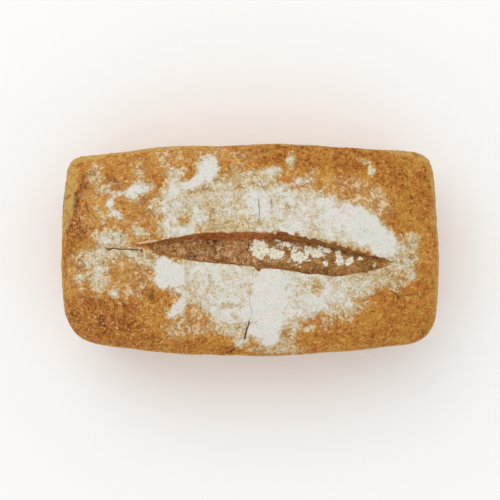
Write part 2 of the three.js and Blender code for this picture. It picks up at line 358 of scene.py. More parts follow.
def slash_rows(x):
    """Places, from -1 to 1, of the grid's rows across the slash at each x."""
    foot = 1 - north_wall(x)[:, None]
    south = np.tile(np.linspace(-1, -1 + SOUTH_WALL, WALL_ROWS[0] + 1), (len(x), 1))
    floor = lerp(-1 + SOUTH_WALL, foot, np.arange(1, FLOOR_ROWS + 1) / FLOOR_ROWS)
    north = lerp(foot, 1, np.arange(1, WALL_ROWS[1] + 1) / WALL_ROWS[1])
    return np.concatenate([south, floor, north], axis=1)


def row_places(x):
    """Places, from -1 to 1, of the rows across the crown at each x: one row of results each."""
    x = np.atleast_1d(x)
    south, north = slash_edges(x)
    past_ends = np.maximum(0, np.maximum(x - SLASH_EAST, SLASH_WEST - x))
    middle = (south + north) / 2
    half = np.maximum((north - south) / 2, LEAST_HALF + ROW_SPREAD * past_ends)
    slash = (middle[:, None] + slash_rows(x) * half[:, None] - SOUTH_EDGE) / HALF_WIDTH - 1
    edges = np.interp(slash[:, [0, -1]], ACROSS_PLACES, ACROSS_SHARES)
    step = np.arange(FIELD_ROWS) / FIELD_ROWS
    south_field = np.interp(edges[:, :1] * step, ACROSS_SHARES, ACROSS_PLACES)
    north_field = np.interp(1 - (1 - edges[:, 1:]) * step[::-1], ACROSS_SHARES, ACROSS_PLACES)
    return np.concatenate([south_field, slash, north_field], axis=1)


def plan_point(along, across):
    """Plan of the crown: the patch that the outline's four sides span."""
    a, b = (along + 1) / 2, (across + 1) / 2
    south, east, north, west = (
        side.at(share) for side, share in zip(crust_sides, (a, b, 1 - a, 1 - b))
    )
    sw, se, ne, nw = (side.at(0) for side in crust_sides)
    a, b = a[..., None], b[..., None]
    return lerp(south, north, b) + lerp(west, east, a) - lerp(lerp(sw, se, a), lerp(nw, ne, a), b)


def crown_points(along, across):
    """Points of the crown, and how far each is torn dough."""
    plan = plan_point(along, across)
    x, y = plan[..., 0], plan[..., 1]
    raised = swell(along, across)
    rise, lean, torn = slash_relief(x, y)
    fade = smoothstep(raised, *RELIEF_SHARES)
    z = lerp(widest_level(x, y), CROWN, raised) + rise * fade
    return np.stack([x, y + lean * fade, z], axis=-1), torn


def inset(plan, amount):
    """An outline's points, moved in with their whole side by the same amount."""
    return plan * (1 - amount / np.array([HALF_LENGTH, HALF_WIDTH]))


def side_rings(i, share):
    """Points below the widest line: under the overhang, down the tin's wall, round the foot."""
    crust = crust_sides[i].at(share)
    wall = inset(wall_sides[i].at(share), WALL_INSET)
    foot = inset(wall, TAPER)
    widest = widest_level(*crust.T)
    rings = []
    for angle in np.linspace(0, math.pi / 2, OVERHANG_RINGS + 1)[1:]:
        rings.append((lerp(wall, crust, math.cos(angle)), lerp(widest, RIM, math.sin(angle))))
    for z in np.linspace(RIM, BASE_RADIUS, TIN_RINGS + 1)[1:]:
        rings.append((lerp(foot, wall, z / RIM), 0 * widest + z))
    for angle in np.linspace(0, math.pi / 2, BASE_RINGS + 1)[1:]:
        inwards, down = BASE_RADIUS * (1 - math.cos(angle)), BASE_RADIUS * (1 - math.sin(angle))
        rings.append((inset(foot, inwards), 0 * widest + down))
    return np.stack([np.column_stack(ring) for ring in rings], axis=1)


def grid_quads(grid):
    """Quads between neighbouring rows of point numbers, wound one way."""
    a, b = grid[:-1], grid[1:]
    return np.stack([a[:, :-1], b[:, :-1], b[:, 1:], a[:, 1:]], axis=-1).reshape(-1, 4)


def rim_of(grid):
    """The numbers round the edge of a grid of point numbers."""
    return np.concatenate([grid[:-1, 0], grid[-1, :-1], grid[:0:-1, -1], grid[0, :0:-1]])


def loaf_surface():
    """The crust's points, quads and base triangles, how far each point is torn dough, and how
    many of them, counted from the first, are on the crown."""
    along = np.interp(np.linspace(0, 1, COLUMNS + 1), ALONG_SHARES, ALONG_PLACES)
    across = row_places(along * HALF_LENGTH)
    crown, torn = crown_points(np.broadcast_to(along[:, None], across.shape), across)
    grid = np.arange(across.size).reshape(across.shape)

    edges = (along, across[-1], -along[::-1], -across[0, ::-1])
    rings = np.concatenate([side_rings(i, (edge[:-1] + 1) / 2) for i, edge in enumerate(edges)])
    below = grid.size + np.arange(rings[..., 0].size).reshape(rings.shape[:2])
    columns = np.concatenate([rim_of(grid)[:, None], below], axis=1)
    columns = np.concatenate([columns, columns[:1]])
    points = np.concatenate([crown.reshape(-1, 3), rings.reshape(-1, 3), [(0, 0, 0)]])
    quads = np.concatenate([grid_quads(grid), grid_quads(columns)[:, ::-1]])
    foot = columns[:, -1]
    fan = np.stack([foot[:-1], np.full(len(foot) - 1, len(points) - 1), foot[1:]], axis=-1)
    torn = np.concatenate([torn.ravel(), np.zeros(len(points) - grid.size)])
    return points, quads, fan, torn, grid.size


def closed_slab(top, under):
    """Points and quads of a slab between two grids of points."""
    count = top[..., 0].size
    grid = np.arange(count).reshape(top.shape[:2])
    rim = rim_of(grid)
    following = np.roll(rim, -1)
    walls = np.stack([rim + count, following + count, following, rim], axis=-1)
    points = np.concatenate([top.reshape(-1, 3), under.reshape(-1, 3)])
    return points, np.concatenate([grid_quads(grid), grid_quads(grid + count)[:, ::-1], walls])


def vertex_normals(points, quads, triangles):
    """Outward normals of the points, each face counting by its area."""
    normals = np.zeros_like(points)
    for corners in (quads[:, :3], quads[:, [0, 2, 3]], triangles):
        a, b, c = points[corners[:, 0]], points[corners[:, 1]], points[corners[:, 2]]
        face = np.cross(b - a, c - a)
        for k in range(3):
            np.add.at(normals, corners[:, k], face)
    return normals / np.maximum(np.linalg.norm(normals, axis=1), 1e-12)[:, None]


# ---------------------------------------------------------------- patches, cracks and spots

# Flour: middle x and y, half length, half width, turn in degrees, and amount. 1 is a thick
# white coat, 0.7 a thin one that the crust shows through, and 0.3 scattered specks.
FLOUR = (
    # the long field north of the slash, and its thick east end
    (-10, 25, 30, 17, 0, 0.8), (24, 23, 32, 14.5, -6, 0.86), (50, 18, 25, 14, -24, 0.88),
    (12, 14, 46, 8, -6, 0.76), (-42, 14, 13, 9, 14, 0.86), (-45, 28, 9, 11, 0, 0.78),
    (69, 13, 17, 10.5, -38, 1), (79, 3, 9, 9, -30, 1), (46, 40, 20, 5, -8, 0.14),
    (70, 32, 17, 9, -30, 0.24), (2, 43, 14, 6, 4, 0.66), (13.5, 47, 5, 3, 0, 0.84),
    (31, 41.5, 7, 2.2, 0, 0.8), (25, 53, 2.2, 5.4, 0, 0.7), (69, 53, 5, 1.2, -28, 0.55),
    (73, 47, 2.2, 2.6, 0, 0.75), (37, 47, 2, 3, 0, 0.4), (-8, 48, 5, 4.4, 0, 0.4),
    # blots at the north-west, and specks round them
    (-26, 48, 7.6, 8.6, -20, 1), (-34, 40, 9, 4.6, 20, 0.95), (-45.5, 46, 7, 4.4, 20, 0.78),
    (-46, 38, 8, 5, 30, 0.76), (-51, 51.5, 3, 3, 0, 0.42), (-28, 58, 36, 6, 0, 0.12),
    (-66.5, 36.5, 8, 4.6, 28, 0.86), (-77, 35, 8, 1.3, 0, 0.8), (-83, 28, 2.3, 5, -12, 1),
    (-80.2, 21, 4, 2.4, -25, 1), (-89, 20, 2.6, 4.6, 20, 0.6), (-94, 45, 6, 7, 0, 0.42),
    (-88, 36.5, 5, 2.2, 0, 0.55), (-67, 49, 4, 7, 10, 0.36), (-56, 26, 4, 7, 0, 0.55),
    (-66, 11, 5, 3.4, -20, 0.6), (-76, 40, 30, 20, 0, 0.04),
    # thin dust at the west end
    (-84, 6.5, 11, 6, 0, 0.7), (-87.5, 6, 4.6, 3, 0, 0.88), (-90, -13, 4, 6.4, 20, 0.78),
    (-91.5, -12, 8.5, 14, 8, 0.58), (-64, -4, 15, 5, -8, 0.6),
    (-101, -17, 3, 2.4, 0, 0.8), (-81, -25, 2.8, 2.8, 0, 0.9), (-78, 20, 28, 26, 0, 0.09),
    (-72, -16, 20, 14, 0, 0.2), (-102, -14, 8, 14, 0, 0.2), (-85, -2, 18, 4, 0, 0.5),
    # the wide field south of the slash
    (-51.5, -10, 6.2, 6.6, 0, 1), (-52, -18, 5.4, 5.4, 0, 1), (-44.5, -14.5, 7, 8.5, 0, 1),
    (-27, -19, 24, 15, -6, 0.8), (-12, -33, 17, 13.5, 0, 0.88),
    (-4, -16, 20, 10, 0, 0.76), (11, -30, 12, 23, 0, 1), (9, -47.5, 11, 7.5, -8, 1),
    (11.5, -54, 6.5, 5, 0, 1),
    (37, -22, 26, 14, 0, 0.8), (64, -20, 20, 9, 24, 0.66), (32, -33, 14, 8, 10, 0.9),
    (52, -33, 12, 7, 10, 0.72), (45, -43, 3.4, 5, 35, 0.4), (34, -46, 4, 2.4, 0, 0.5),
    (-43.8, -34, 3.8, 8.4, -23, 0.92), (-14, -46, 14, 6, -15, 0.56), (-5, -55, 5, 5, 0, 0.7),
    (15, -60, 14, 3, 0, 0.5), (23, -54, 5, 5, 0, 0.5), (24, -43, 6, 7, 0, 0.85),
    (-44, -48, 9, 5, 0, 0.22), (-32, -42, 14, 9, -10, 0.2), (56, -36, 15, 7, 18, 0.34),
    # dust at the east end
    (90, -3, 11, 10, 0, 0.64), (95.5, -12, 4, 7, 20, 0.55), (96.5, 3, 5, 6, 0, 0.6),
    (86, -15, 11, 9, 14, 0.42),
)
# Bare spots in the flour: as above, the last number being the share that is rubbed off
BARE = (
    (-38.5, 19.5, 4, 4, 0, 0.75), (-25, 23, 5, 4, 0, 0.3), (-7.5, 37.5, 2.4, 1.8, 0, 0.6),
    (-16, -34, 2.4, 1.8, 0, 0.45), (40.5, -23, 2.4, 5.4, 0, 0.45), (-38, 46, 3, 3.4, 0, 0.8),
    (-8, 15, 24, 5.4, 0, 0.28), (-48, -28, 5, 4, 0, 0.6), (36, 18, 9, 9, 0, 0.1),
    (21, 41.5, 5, 2.6, 0, 0.85), (-76, -15, 10, 9, 0, 0.3), (-33, 35.5, 6, 2.2, 20, 0.25),
    (0, -55, 2, 3, 0, 0.3), (22, -49, 2.6, 4, -30, 0.35), (-60.4, -26.5, 3.4, 3.2, 0, 1),
)
# Where the crust baked darker, or paler if the amount is below 0; the oval along the north-west
# ledge is partly painted shade of its step
BAKE = (
    (-88, -42, 24, 14, -14, 0.16), (-77, -42, 6, 5, 0, 0.1), (-60.4, -27, 2, 2.4, 0, 0.5),
    (44, 56, 44, 8, -3, 0.12), (88, 46, 20, 10, 0, 0.07), (-105, 8, 6, 24, 8, 0.2),
    # darker crust, and painted shade, along the inner edge of the north-west ledge
    (-103.5, 34, 3.4, 11, -18, 0.18),
    (-83, 40, 6, 5, 0, 0.2), (-82, 33, 3.5, 3, 0, 0.18), (-96, 44, 6, 7, 0, 0.16),
    (-48, -57, 26, 5, -3, 0.08), (-14, -60, 7, 3, 0, 0.2), (92, -42, 24, 14, 10, 0.04),
    (-70, 56, 34, 7, 2, -0.06), (-90, 24, 7, 8, 30, -0.16),
    (97.5, 31, 1.6, 1.4, 0, 0.3), (102, -42, 9, 7, 0, 0.08),
)
# The pale band that the tin shaded: middle, half sizes, turn, and how many mm wider it is there
PALE_RIM = (
    (-113, 37, 9, 24, 0, 9), (-104, 58, 17, 8, 0, 3.6), (-76, 61, 30, 6, 0, 1.4),
    (99, 58, 16, 8, 0, 3.4), (112, 36, 6, 24, 0, 2.6), (113, -8, 6, 44, 0, 1),
)
PLAIN_RIM = 0.7

# Flour on the torn dough, and where that dough is redder, in the same form
SPLIT_FLOUR = (
    (5.6, 0.2, 5.6, 5, 0, 1), (15, -1.8, 5.2, 3.4, -14, 1), (21, 3, 5.6, 1.7, -6, 0.85),
    (29, -4, 4.6, 3, -10, 0.85), (26, 0.6, 3.4, 1.8, 0, 0.8), (38, -0.8, 6.4, 2.4, -20, 0.95),
    (35, -6, 4.4, 1.1, 0, 0.6), (45, 0.4, 4, 1.9, -20, 0.85), (45, -8, 1.2, 2.2, -20, 1),
    (52.4, -4.4, 2, 5, 16, 1), (58.6, -6.4, 2.3, 3, 0, 0.95), (19, -6, 7, 1.3, 0, 0.6),
    (66.4, -6, 1.5, 1, 0, 0.8), (74, -9, 0.9, 1.2, 0, 0.7), (27, -9.4, 4, 0.9, 0, 0.5),
)

# Cracks: half width, depth, and the points that each one passes
CRACKS = (
    (0.5, 1.1, ((-64, -0.4), (-70, 0), (-78.4, 0.4), (-81.8, 1.2), (-84.6, -0.2), (-89, 2.9))),
    (0.22, 0.5, ((-77.6, 9.8), (-76.8, 6.2), (-77.4, 2.5))),
    (0.2, 0.4, ((-82.4, 9), (-81.6, 6.4), (-81.9, 3.6))),
    (0.32, 0.7, ((-99, 30), (-97.8, 23.4), (-90.6, 17))),
    (0.22, 0.5, ((-0.2, -24), (-0.2, -33), (0.7, -36), (0.7, -40), (-0.2, -42.5))),
    (0.55, 1.3, ((-0.2, -41.5), (-1.4, -46.2), (-2.4, -48.7), (-3, -51.7), (-3.7, -55.2))),
    (0.5, 1.0, ((-12.4, -63.4), (-11.4, -61.6), (-8.8, -59.2))),
    (0.3, 0.5, ((5.9, 41.5), (6.8, 38), (10.1, 33))),
    (0.32, 0.6, ((5.4, 32.5), (4.9, 28), (5.5, 22), (4.8, 15.5))),
    (0.3, 0.6, ((12.1, 31), (12.4, 27.5), (13.5, 23.2))),
    (0.42, 0.8, ((83.2, -24.2), (87.4, -26.6), (88.8, -28.6), (87.9, -33))),
    (0.32, 0.6, ((89.2, -27.6), (93.7, -27.4), (100.4, -26.6), (102, -28.6), (104.3, -31.6))),
    (0.2, 0.3, ((103.7, -24), (107, -23.9), (112.4, -22.6))),
    (0.35, 0.8, ((74, -9.6), (79, -9), (84.6, -7.6), (88, -6.4))),
)
# Thin raised ridges, in the same form. Their pale colour is raw crust at the slash's west tail, and
# a painted highlight along the north lip's edge
RIDGES = (
    (0.55, 0.8, ((-70, 3.1), (-66, 3.8), (-60, 4.9), (-53.5, 5.6))),
    (0.4, 0.5, ((-55, 5.5), (-48, 7.3), (-38, 9.2), (-28, 10.5), (-18, 11.4))),
)
CRACK_REACH = 2.0  # distances past this aren't kept
GROOVE_EDGE = 0.5  # how much wider than its crack a groove is, on each side
SNAP_REACH = 0.36  # points of the mesh that lie this near a crack move onto it

# Shallow dents: middle, half length, half width, turn, depth and how dark painted shade makes them
DENTS = (
    (-64, 1.6, 8, 1.7, 6, 1.4, 0.25), (-64.8, -1.4, 1, 0.9, 0, 1.6, 0.95),
    (-105.5, 31, 1.4, 12, -14, 0.5, 0.1),
)

# Random spots on the bare crust: how many, their least and greatest radius, and a seed
BLISTERS = (170, 0.9, 2.3, 71)
PITS = (520, 0.45, 0.9, 72)
PORES = (260, 0.6, 1.6, 76)  # on the walls
# Lumps of flour in the slash, and loose grains on the crust, in the same form
CLUMPS = (420, 0.25, 1.3, 91)
GRAINS = (1300, 0.14, 0.42, 92)
GRAIN_LIFT = 0.1

# Layers of noise: height, width of the bumps, seed and, unless it is 3, number of octaves
OVAL_EDGE_X = ((1.5, 8, 3), (0.9, 2.4, 5))
OVAL_EDGE_Y = ((1.5, 8, 7), (0.9, 2.4, 9))
MARBLING = ((0.6, 6, 13, 2), (0.6, 2.6, 15, 2))
CRACK_WANDER = ((0.35, 2.6, 11),)
CROWN_DIMPLES = ((0.2, 11, 41, 2),)
WALL_DIMPLES = ((0.3, 11, 41, 2), (0.14, 4, 43))
CRAZING = ((0.352, 2.6, 21, 2),)
POWDER = ((0.5, 1.5, 51, 2),)
SLOPE_BUMPS = ((0.3, 3.2, 61),)
GOLDEN_WANDER = ((4, 5, 88, 2),)
HIGHLIGHT_FLECK_FIELDS = ((1, 26, 75, 2),)
CRUMB_BITS = ((0.55, 4.2, 81), (0.5, 1.7, 83, 2))
CRUMB_HOLES = ((1, 2.6, 85, 2),)

# How soft an oval's edge is: a share of the oval, and a length
SOFT_SHARE = 0.2
SOFT_EDGE = 0.9


def patches(x, y, table, combine):
    """Soft, ragged-edged ovals; combine folds each one's amount into the total."""
    place = on_base(x, y)
    ragged_x = x + layered(place, OVAL_EDGE_X)
    ragged_y = y + layered(place, OVAL_EDGE_Y)
    total = np.zeros(len(x))
    for middle_x, middle_y, length, width, turn, amount in table:
        c, s = math.cos(math.radians(turn)), math.sin(math.radians(turn))
        dx, dy = ragged_x - middle_x, ragged_y - middle_y
        distance = np.hypot((dx * c + dy * s) / length, (dy * c - dx * s) / width)
        soft = SOFT_SHARE + SOFT_EDGE / min(length, width)
        total = combine(total, amount * (1 - smoothstep(distance, 1 - soft, 1 + soft)))
    return total


def joined(total, amount):
    """Lays one oval over the others: the greater counts, and a little of the lesser."""
    high, low = np.maximum(total, amount), np.minimum(total, amount)
    return high + 0.3 * low * (1 - high)


def flour_at(x, y):
    """The share of the crust that flour hides at each place, marbled where it is thin."""
    amount = patches(x, y, FLOUR, joined) * (1 - patches(x, y, BARE, np.maximum))
    marbling = layered(on_base(x, y), MARBLING)
    return np.clip(amount + marbling * amount * (1.08 - amount), 0, 1)


def line_distance(x, y, points):
    """Signed distance of each place from a line of points, and how far along it the place is."""
    line = Path(points)
    best, side, along = np.full(len(x), np.inf), np.ones(len(x)), np.zeros(len(x))
    for k, (a, b) in enumerate(zip(line.points[:-1], line.points[1:])):
        run = b - a
        dx, dy = x - a[0], y - a[1]
        t = np.clip((dx * run[0] + dy * run[1]) / (run @ run), 0, 1)
        distance = np.hypot(dx - t * run[0], dy - t * run[1])
        nearer = distance < best
        best = np.where(nearer, distance, best)
        side = np.where(nearer, np.sign(run[0] * dy - run[1] * dx + 1e-12), side)
        along = np.where(nearer, lerp(line.shares[k], line.shares[k + 1], t), along)
    return best * side, along


def edge_distance(x, y):
    """About how far a place of the crown lies from every sixth point of the widest outline."""
    lines = [side.points[::6] for side in crust_sides]
    return np.min([np.abs(line_distance(x, y, line)[0]) for line in lines], axis=0)


def snapped_to_cracks(x, y):
    """Moves places that lie next to a crack onto it, so that the mesh has a line along it."""
    for _, _, line in CRACKS:
        signed, along = line_distance(x, y, line)
        near = (np.abs(signed) < SNAP_REACH) & (along > 0.01) & (along < 0.99)
        target = Path(line).at(along)
        x, y = np.where(near, target[:, 0], x), np.where(near, target[:, 1], y)
    return x, y


def tapered(along, opened, closing):
    """0 at both ends of a line, and 1 between two shares of its length."""
    return smoothstep(along, 0, opened) * (1 - smoothstep(along, closing, 1))


def cracks_at(x, y):
    """Signed distance to the nearest crack, the crack's half width there, and its depth."""
    side = np.full(len(x), CRACK_REACH)
    half, depth = np.zeros(len(x)), np.zeros(len(x))
    wander = layered(on_base(x, y), CRACK_WANDER)
    for width, deep, line in CRACKS:
        signed, along = line_distance(x, y, line)
        signed = signed + wander
        opened = tapered(along, 0.16, 0.8)
        near = np.abs(signed) < np.minimum(CRACK_REACH, np.abs(side))
        side = np.where(near, signed, side)
        half = np.where(near, width * lerp(0.25, 1, opened), half)
        groove = np.clip(1 - np.abs(signed) / (width + GROOVE_EDGE), 0, 1)
        depth = np.maximum(depth, deep * opened * groove)
    return side, half, depth


def ridges_at(x, y):
    height = np.zeros(len(x))
    for width, high, line in RIDGES:
        signed, along = line_distance(x, y, line)
        section = np.exp(-((signed / width) ** 2))
        height = np.maximum(height, high * tapered(along, 0.3, 0.85) * section)
    return height


def dents_at(x, y):
    """Depth of the dents at each place, and how much darker painted shade makes the crust there."""
    depth, shade = np.zeros(len(x)), np.zeros(len(x))
    for *oval, deep, dark in DENTS:
        share = patches(x, y, [(*oval, 1)], np.maximum)
        depth = np.maximum(depth, deep * share)
        shade = np.maximum(shade, dark * share)
    return depth, shade


def random_radii(draw, count, least, most, power):
    """Radii between two values. The higher the power, the more of them are small."""
    return least + (most - least) * draw.random(count) ** power


def spots(points, allowed, count, least, most, seed):
    """Round spots on some of the allowed points. Gives each point's nearness to a spot's
    middle, from 0 to 1, and the spot's height there."""
    draw = np.random.default_rng(seed)
    chosen = draw.choice(np.flatnonzero(allowed), count, replace=False)
    nearness, height = np.zeros(len(points)), np.zeros(len(points))
    for index, radius in zip(chosen, random_radii(draw, count, least, most, 2)):
        near = np.flatnonzero(np.abs(points[:, 0] - points[index, 0]) < radius)
        distance = np.linalg.norm(points[near] - points[index], axis=1) / radius
        inside = np.clip(1 - distance**2, 0, 1)
        nearness[near] = np.maximum(nearness[near], inside)
        height[near] = np.maximum(height[near], radius * inside**1.5)
    return nearness, height


# ---------------------------------------------------------------- meshes

# The crust's fine forms: heights in mm, and those of spots in shares of their radius
CRAZING_HEIGHT = 0.16
COAT_HEIGHT = 0.22
BLISTER_HEIGHT = 0.28
PIT_DEPTH = 0.5
PORE_DEPTH = 0.4
BREAK_REACH = 2.2  # how far north of the slash the lip's flour and skin broke off
BREAKS = (2.2, 93)  # size and seed of the noise of that

# Places along x
TORN_START = (CRUMB_ENDS[0] - 1.5, CRUMB_ENDS[0] + 1)  # from the hollow's crust to torn dough
TEAR_DARKENS = (8, 26)
TEAR_BREAKS = (10, 22)
TEAR_GOLDEN = (14, 34)
CRUMB_GOLDEN = (0, 14)
WEST_GOLDEN = (-36, -48)

# The torn dough's piece
HOLE_DEPTH = 0.9
CRUMB_FLOUR_HEIGHT = 0.6
CRUMB_EDGE = 0.3  # thickness at the slash's ends

# Pebbles: least length, width and height, and what is added at random, in shares of the radius
PEBBLE_LEAST = (0.9, 0.6, 0.25)
PEBBLE_MORE = (0.7, 0.4, 0.25)


def link(data, name):
    piece = bpy.data.objects.new(name, data)
    bpy.context.scene.collection.objects.link(piece)
    return piece


def make_piece(name, points, faces, material, numbers=None):
    """A smooth-shaded mesh from points in mm, with named numbers kept on its points."""
    mesh = bpy.data.meshes.new(name)
    mesh.from_pydata((points * MM).tolist(), [], faces)
    mesh.shade_smooth()
    for key, values in (numbers or {}).items():
        layer = mesh.attributes.new(key, "FLOAT", "POINT")
        layer.data.foreach_set("value", np.asarray(values, np.float32))
    mesh.materials.append(material)
    piece = link(mesh, name)
    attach(piece, BODY)
    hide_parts(NODE)


def fit_to_solid(surface):
    """A function that moves points as the surface has to be moved, to be centred over the
    solid's box and as high as it."""
    low, high = surface.min(axis=0), surface.max(axis=0)
    shift = (CAD_LOW + CAD_HIGH - low - high) / 2 * (1, 1, 0)
    scale = (1, 1, HEIGHT / high[2])
    return lambda points: (points + shift) * scale


def crust_relief(points, flour, torn, blister_height, pit_depth):
    """Height in mm of the crown's fine forms: dimples, crazing, blisters, pits and flour."""
    coat = smoothstep(flour, 0.3, 0.95)
    crazing = CRAZING_HEIGHT - np.abs(layered(points, CRAZING))
    relief = layered(points, CROWN_DIMPLES) + crazing * (1 - 0.75 * coat)
    relief += COAT_HEIGHT * coat * (1 + layered(points, POWDER))
    relief += BLISTER_HEIGHT * blister_height - PIT_DEPTH * pit_depth * (1 - coat)
    return lerp(relief, layered(points, SLOPE_BUMPS), torn)


def golden_share(points, low, high):
    """How golden the torn dough is, instead of reddish: from low to high along x, and at its
    west end."""
    x = points[:, 0] + layered(points, GOLDEN_WANDER)
    return np.maximum(smoothstep(x, low, high), 0.8 * smoothstep(x, *WEST_GOLDEN))


def lip_teeth(x, y):
    """1 in the small teeth where the north lip's flour and skin broke off, in the east."""
    south, north = slash_edges(x)
    jagged = np.clip(along_x(x, *BREAKS) + 0.1, 0, 1)
    reach = BREAK_REACH * jagged * smoothstep(x, *TEAR_BREAKS) * slash_opening(x)
    inside = smoothstep(y - north, reach + 0.1, 0.6 * reach)
    return (y > (south + north) / 2) * inside * (reach > 0.2)


def crust_bake(points, is_crown, torn):
    """How dark the crust is at each point, from 0 to 1."""
    x, y, z = points.T
    crown = 0.555 + patches(x, y, BAKE, np.add)
    corner = np.clip(corner_share(x, y), 0, 1)
    wall = 0.36 + 0.3 * smoothstep(z, 0.7 * RIM, 0) + 0.2 * corner
    tear = lerp(0.45, 0.67, smoothstep(x, *TEAR_DARKENS))
    return np.where(is_crown, lerp(crown, tear, torn), wall)


def pale_rim(points, is_crown):
    """How far the crust is the pale band round the crown and under its overhang."""
    x, y, z = points.T
    width = PLAIN_RIM + patches(x, y, PALE_RIM, np.maximum)
    on_crown = 1 - smoothstep(edge_distance(x, y), 0.55 * width, 1.2 * width)
    return np.where(is_crown, on_crown, smoothstep(z, 0.75 * RIM, WIDEST))


def highlight_fleck_share(points):
    """How many painted highlight flecks the crust has: fields of them, more so in the south-west."""
    x, y, _ = points.T
    return smoothstep(layered(points, HIGHLIGHT_FLECK_FIELDS) - (x + y) / 80, 0.3, 1.3)


def make_crust(material):
    """Makes the crust. Also returns its fit, and the points, normals and flour of its crown."""
    points, quads, fan, torn, crown_count = loaf_surface()
    crown = points[:crown_count]
    crown[:, 0], crown[:, 1] = snapped_to_cracks(crown[:, 0], crown[:, 1])
    torn = torn * smoothstep(points[:, 0], *TORN_START)
    normals = vertex_normals(points, quads, fan)
    above_base = smoothstep(points[:, 2], 0, 2 * BASE_RADIUS)
    smooth = points + normals * (lumps(points) * above_base)[:, None]

    is_crown = np.arange(len(points)) < crown_count
    x, y, z = smooth.T
    skin = is_crown * (1 - torn)
    teeth = lip_teeth(x, y) * skin
    level = smoothstep(normals[:, 2], 0.05, 0.6)
    flour = flour_at(x, y) * level * skin * (1 - 0.9 * teeth)
    crack_side, crack_half, crack_depth = cracks_at(x, y)
    dent, dent_painted_shade = dents_at(x, y)
    ridge = ridges_at(x, y) * is_crown
    bare = is_crown & (flour < 0.25) & (torn < 0.1) & (normals[:, 2] > 0.3)
    blister, blister_height = spots(smooth, bare, *BLISTERS)
    pit, pit_depth = spots(smooth, bare, *PITS)
    pore, pore_depth = spots(smooth, ~is_crown & (z > 2 * BASE_RADIUS), *PORES)

    on_crown = crust_relief(smooth, flour, torn, blister_height, pit_depth)
    on_crown += ridge - crack_depth - dent
    on_wall = layered(smooth, WALL_DIMPLES) - PORE_DEPTH * pore_depth
    relief = np.where(is_crown, on_crown, on_wall) * above_base
    surface = smooth + normals * relief[:, None]
    fit = fit_to_solid(surface)
    placed = fit(surface)

    south_wall = y < np.mean(slash_edges(x), axis=0)
    spot_shade = 0.1 * blister - 0.1 * pit + 0.2 * pore + 0.3 * teeth
    numbers = {
        "bake": crust_bake(smooth, is_crown, torn) + spot_shade + dent_painted_shade * is_crown,
        "flour": flour * (1 - 0.8 * np.clip(2 * dent_painted_shade, 0, 1)),
        "torn": torn,
        "crack_side": crack_side,
        "crack_half": crack_half * is_crown,
        "ridge": ridge,
        "golden": np.maximum(golden_share(smooth, *TEAR_GOLDEN), south_wall) * torn,
        "rim": pale_rim(smooth, is_crown),
        "wall": smoothstep(z, WIDEST, 0.9 * RIM) * ~is_crown,
        "highlight_flecks": highlight_fleck_share(smooth) * skin,
    }
    make_piece("loaf_crust", placed, quads.tolist() + fan.tolist(), material, numbers)
    return fit, placed[:crown_count], normals[:crown_count], flour[:crown_count]


def crown_level(x, y):
    """Level of the plain crown, without slash and lumps, near the slash."""
    raised = swell(x / HALF_LENGTH, (y - SOUTH_EDGE) / HALF_WIDTH - 1)
    return lerp(widest_level(x, y), CROWN, raised)


def crumb_top():
    """The torn dough's upper side as a grid of points, and the flour on it."""
    x = np.linspace(*CRUMB_ENDS, CRUMB_COLUMNS + 1)[:, None]
    across = np.linspace(*CRUMB_ACROSS, CRUMB_ROWS + 1)
    south, north = slash_edges(x)
    y = (south + north) / 2 + across * (north - south) / 2
    x, across = np.broadcast_to(x, y.shape), np.broadcast_to(across, y.shape)
    points = np.stack([x, y, crown_level(x, y)], axis=-1).reshape(-1, 3)
    flour = patches(points[:, 0], points[:, 1], SPLIT_FLOUR, np.maximum)
    holes = HOLE_DEPTH * smoothstep(layered(points, CRUMB_HOLES), 0.35, 0.9)
    rough = layered(points, CRUMB_BITS) - holes + CRUMB_FLOUR_HEIGHT * flour
    rough = rough * np.clip(1.6 * slash_opening(points[:, 0]), 0, 1)
    points[:, 2] += slash_floor(points[:, 0], across.ravel()) + lumps(points) + rough
    return points.reshape(*y.shape, 3), flour


def make_crumb(material, fit):
    """Makes the torn dough in the slash. Also returns its upper points and the flour there."""
    top, flour = crumb_top()
    thickness = CRUMB_EDGE + CRUMB_THICKNESS * slash_opening(top[..., 0])
    under = top - thickness[..., None] * (0, 0, 1)
    points, quads = closed_slab(fit(top), fit(under))
    numbers = {
        "flour": np.concatenate([flour, 0 * flour]),
        "golden": golden_share(points, *CRUMB_GOLDEN),
    }
    make_piece("split_crumb", points, quads.tolist(), material, numbers)
    return fit(top.reshape(-1, 3)), flour


def pebble(detail):
    """Points and triangles of a round pebble with a radius of 1."""
    shape = bmesh.new()
    bmesh.ops.create_icosphere(shape, subdivisions=detail, radius=1)
    points = np.array([vertex.co[:] for vertex in shape.verts])
    triangles = np.array([[vertex.index for vertex in face.verts] for face in shape.faces])
    shape.free()
    return points, triangles


def make_heap(name, places, draw, count, least, most, seed, detail, material):
    """Makes one piece of uneven pebbles, each turned and flattened its own way."""
    radii = random_radii(draw, count, least, most, 3)
    draw = np.random.default_rng(seed)
    ball, triangles = pebble(detail)
    turns = draw.random(count)[:, None] * 2 * math.pi
    sizes = radii[:, None] * (PEBBLE_LEAST + PEBBLE_MORE * draw.random((3, count)).T)
    number = np.arange(count)[:, None, None]
    bumps = 1 + 0.5 * noise((ball + 9 * number).reshape(-1, 3), 0.9, seed, 2)
    x, y, z = np.moveaxis(ball * bumps.reshape(count, -1, 1) * sizes[:, None, :], -1, 0)
    c, s = np.cos(turns), np.sin(turns)
    turned = np.stack([x * c - y * s, x * s + y * c, z], axis=-1)
    points = (turned + places[:, None, :]).reshape(-1, 3)
    faces = (triangles + len(ball) * number).reshape(-1, 3)
    make_piece(name, points, faces.tolist(), material)


def make_clumps(material, points, flour):
    """Makes the lumps of flour that fell into the slash."""
    draw = np.random.default_rng(CLUMPS[-1])
    chosen = draw.choice(np.flatnonzero(flour > 0.6), CLUMPS[0], replace=False)
    make_heap("flour_clumps", points[chosen], draw, *CLUMPS, 3, material)


